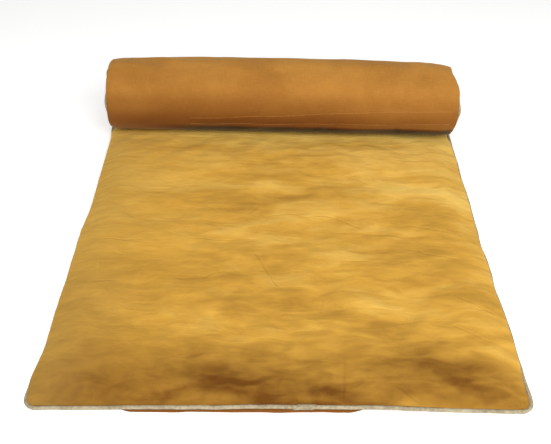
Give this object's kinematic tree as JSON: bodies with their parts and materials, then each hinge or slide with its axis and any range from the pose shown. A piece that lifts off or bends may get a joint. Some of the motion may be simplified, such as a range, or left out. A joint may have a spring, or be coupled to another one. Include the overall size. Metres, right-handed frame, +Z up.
{
  "type": "piped velvet quilt",
  "caption": "Padded velvet floor quilt with a cotton backing and linen piping, flat at the front and rolled up at the far end; the roll's outer turn opens flat.",
  "frame": {"origin": "under the middle of the object's bounding box, on the floor", "axes": "+X across the quilt, +Y from the free front edge towards the roll, +Z up"},
  "size_m": [0.8546, 0.991, 0.1929],
  "materials": {
    "velvet": "matte",
    "wadding": "matte",
    "backing": "matte",
    "linen": "matte",
    "cord": "matte",
    "thread": "satin"
  },
  "bodies": {
    "mat": {"velvet_face": "velvet", "wadding_pad": "wadding", "backing_panel": "backing", "piping_cover": "linen", "piping_cord": "cord", "piping_join": "linen", "seam_thread": "thread"},
    "turn_01": {"velvet_strip_01": "velvet", "wadding_strip_01": "wadding", "backing_strip_01": "backing", "piping_strip_01": "linen"},
    "turn_02": {"velvet_strip_02": "velvet", "wadding_strip_02": "wadding", "backing_strip_02": "backing", "piping_strip_02": "linen"},
    "turn_03": {"velvet_strip_03": "velvet", "wadding_strip_03": "wadding", "backing_strip_03": "backing", "piping_strip_03": "linen"},
    "turn_04": {"velvet_strip_04": "velvet", "wadding_strip_04": "wadding", "backing_strip_04": "backing", "piping_strip_04": "linen"},
    "turn_05": {"velvet_strip_05": "velvet", "wadding_strip_05": "wadding", "backing_strip_05": "backing", "piping_strip_05": "linen"},
    "turn_06": {"velvet_strip_06": "velvet", "wadding_strip_06": "wadding", "backing_strip_06": "backing", "piping_strip_06": "linen"},
    "turn_07": {"velvet_strip_07": "velvet", "wadding_strip_07": "wadding", "backing_strip_07": "backing", "piping_strip_07": "linen"},
    "turn_08": {"velvet_strip_08": "velvet", "wadding_strip_08": "wadding", "backing_strip_08": "backing", "piping_strip_08": "linen"},
    "turn_09": {"velvet_strip_09": "velvet", "wadding_strip_09": "wadding", "backing_strip_09": "backing", "piping_strip_09": "linen", "backing_lap": "backing", "lap_thread": "thread"},
    "turn_10": {"velvet_strip_10": "velvet", "wadding_strip_10": "wadding", "backing_strip_10": "backing", "piping_strip_10": "linen"},
    "turn_11": {"velvet_strip_11": "velvet", "wadding_strip_11": "wadding", "backing_strip_11": "backing", "piping_strip_11": "linen"},
    "core": {"velvet_core": "velvet", "wadding_core": "wadding", "backing_core": "backing", "piping_cover_core": "linen", "piping_cord_core": "cord"}
  },
  "joints": [
    {"name": "unroll", "type": "hinge", "parent": "mat", "child": "turn_01", "pos_m": [0.00046, 0.40796, 0.01085], "axis": [-0.9995, 0.0305, 0], "range_deg": [0, 30]},
    {"name": "unroll_02", "type": "hinge", "parent": "turn_01", "child": "turn_02", "pos_m": [0.00173, 0.44942, 0.0348], "axis": [-0.9995, 0.0305, 0], "range_deg": [0, 30]},
    {"name": "unroll_03", "type": "hinge", "parent": "turn_02", "child": "turn_03", "pos_m": [0.00244, 0.47286, 0.07541], "axis": [-0.9995, 0.0305, 0], "range_deg": [0, 30]},
    {"name": "unroll_04", "type": "hinge", "parent": "turn_03", "child": "turn_04", "pos_m": [0.00244, 0.47286, 0.12129], "axis": [-0.9995, 0.0305, 0], "range_deg": [0, 30]},
    {"name": "unroll_05", "type": "hinge", "parent": "turn_04", "child": "turn_05", "pos_m": [0.00176, 0.45042, 0.16016], "axis": [-0.9995, 0.0305, 0], "range_deg": [0, 30]},
    {"name": "unroll_06", "type": "hinge", "parent": "turn_05", "child": "turn_06", "pos_m": [0.0006, 0.41244, 0.1821], "axis": [-0.9995, 0.0305, 0], "range_deg": [0, 30]},
    {"name": "unroll_07", "type": "hinge", "parent": "turn_06", "child": "turn_07", "pos_m": [-0.00071, 0.36959, 0.1821], "axis": [-0.9995, 0.0305, 0], "range_deg": [0, 30]},
    {"name": "unroll_08", "type": "hinge", "parent": "turn_07", "child": "turn_08", "pos_m": [-0.00182, 0.33335, 0.16117], "axis": [-0.9995, 0.0305, 0], "range_deg": [0, 30]},
    {"name": "unroll_09", "type": "hinge", "parent": "turn_08", "child": "turn_09", "pos_m": [-0.00244, 0.31293, 0.12578], "axis": [-0.9995, 0.0305, 0], "range_deg": [0, 30]},
    {"name": "unroll_10", "type": "hinge", "parent": "turn_09", "child": "turn_10", "pos_m": [-0.00244, 0.31293, 0.08592], "axis": [-0.9995, 0.0305, 0], "range_deg": [0, 30]},
    {"name": "unroll_11", "type": "hinge", "parent": "turn_10", "child": "turn_11", "pos_m": [-0.00185, 0.33235, 0.05227], "axis": [-0.9995, 0.0305, 0], "range_deg": [0, 30]},
    {"name": "unroll_12", "type": "hinge", "parent": "turn_11", "child": "core", "pos_m": [-0.00085, 0.36511, 0.03335], "axis": [-0.9995, 0.0305, 0], "range_deg": [0, 30]}
  ],
  "couplings": [
    {"joint": "unroll_02", "follows": "unroll", "ratio": 1},
    {"joint": "unroll_03", "follows": "unroll", "ratio": 1},
    {"joint": "unroll_04", "follows": "unroll", "ratio": 1},
    {"joint": "unroll_05", "follows": "unroll", "ratio": 1},
    {"joint": "unroll_06", "follows": "unroll", "ratio": 1},
    {"joint": "unroll_07", "follows": "unroll", "ratio": 1},
    {"joint": "unroll_08", "follows": "unroll", "ratio": 1},
    {"joint": "unroll_09", "follows": "unroll", "ratio": 1},
    {"joint": "unroll_10", "follows": "unroll", "ratio": 1},
    {"joint": "unroll_11", "follows": "unroll", "ratio": 1},
    {"joint": "unroll_12", "follows": "unroll", "ratio": 1}
  ]
}
